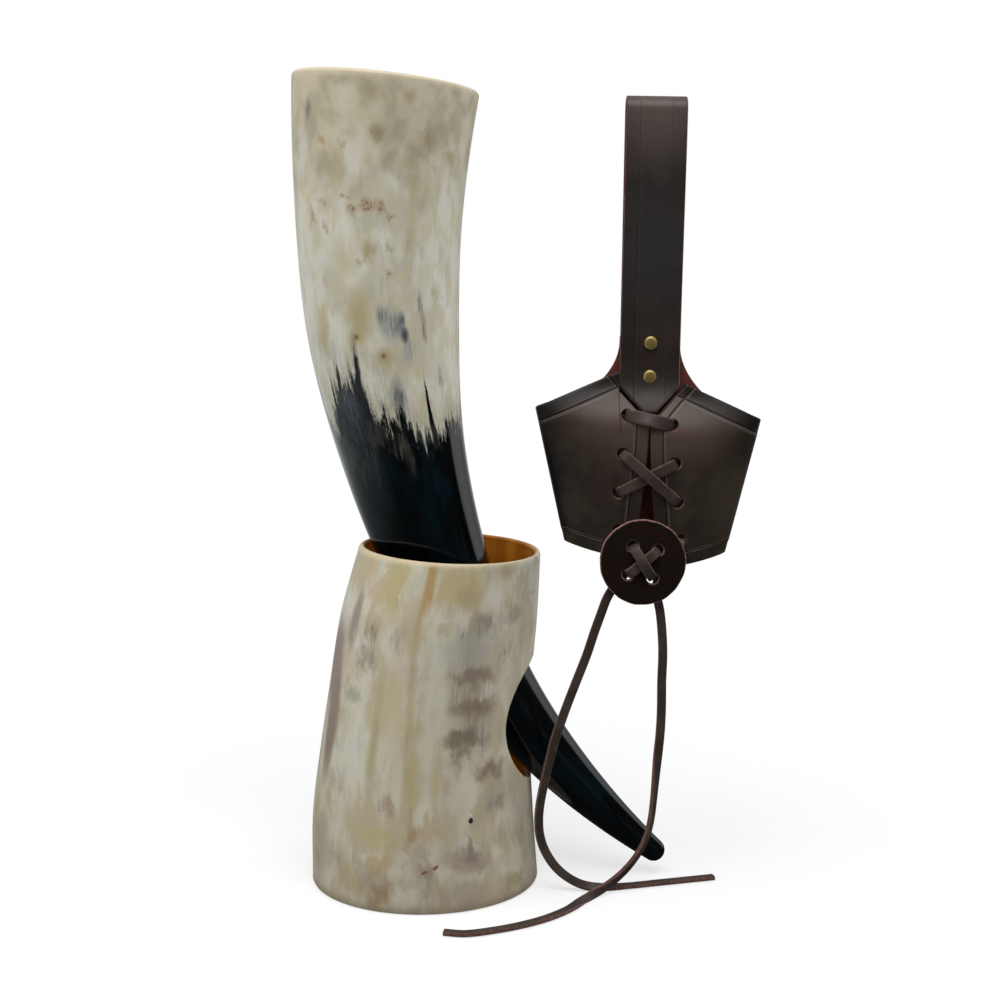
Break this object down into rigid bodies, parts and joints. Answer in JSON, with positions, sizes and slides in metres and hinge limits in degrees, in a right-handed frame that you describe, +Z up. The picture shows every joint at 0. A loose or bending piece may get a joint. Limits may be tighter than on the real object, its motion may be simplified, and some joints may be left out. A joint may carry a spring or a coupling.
{
  "type": "drinking horn with stand and belt holster",
  "caption": "Curved drinking horn resting in a stand cut from a wider horn, with a laced leather belt holster, riveted strap loop and lace disc.",
  "frame": {"origin": "middle of the stand's foot ring, on the surface that it stands on", "axes": "+Z up; +X to the side where the horn's tip comes out of the stand and where the holster hangs; +Y to the back, away from the lacing"},
  "size_m": [0.1967, 0.1222, 0.3454],
  "materials": {
    "horn": "polished horn, cream above and black below, with streaks along its length",
    "stand_horn": "polished pale horn with upright streaks and brown patches",
    "leather": "smooth dark brown leather with a soft sheen, red-brown inside",
    "disc_leather": "thick dark leather with a raw pink-brown edge",
    "lace": "flat leather lace with raw edges",
    "rivet_brass": "aged brass"
  },
  "bodies": {
    "stand": {"stand": "stand_horn"},
    "horn": {"horn": "horn"},
    "holster": {"holster_leather": "leather", "rivet_upper_cap": "rivet_brass", "rivet_upper_post": "rivet_brass", "rivet_lower_cap": "rivet_brass", "rivet_lower_post": "rivet_brass", "lace_top_bar": "lace", "lace_cross_over": "lace", "lace_cross_under": "lace", "lace_inside_runs": "lace", "lace_tail_left": "lace", "lace_tail_right": "lace"},
    "disc": {"lace_disc": "disc_leather", "lace_disc_over": "lace", "lace_disc_under": "lace"}
  },
  "joints": [
    {"name": "horn_lift", "type": "hinge", "parent": "stand", "child": "horn", "pos_m": [0.2885, 0, 0.25], "axis": [0, 1, 0], "range_deg": [0, 36]},
    {"name": "holster_away", "type": "slide", "parent": "stand", "child": "holster", "axis": [0, -1, 0], "range_m": [0, 0.15]},
    {"name": "disc_slide", "type": "slide", "parent": "holster", "child": "disc", "axis": [-0.0157, 0, -0.9999], "range_m": [0, 0.025]}
  ]
}
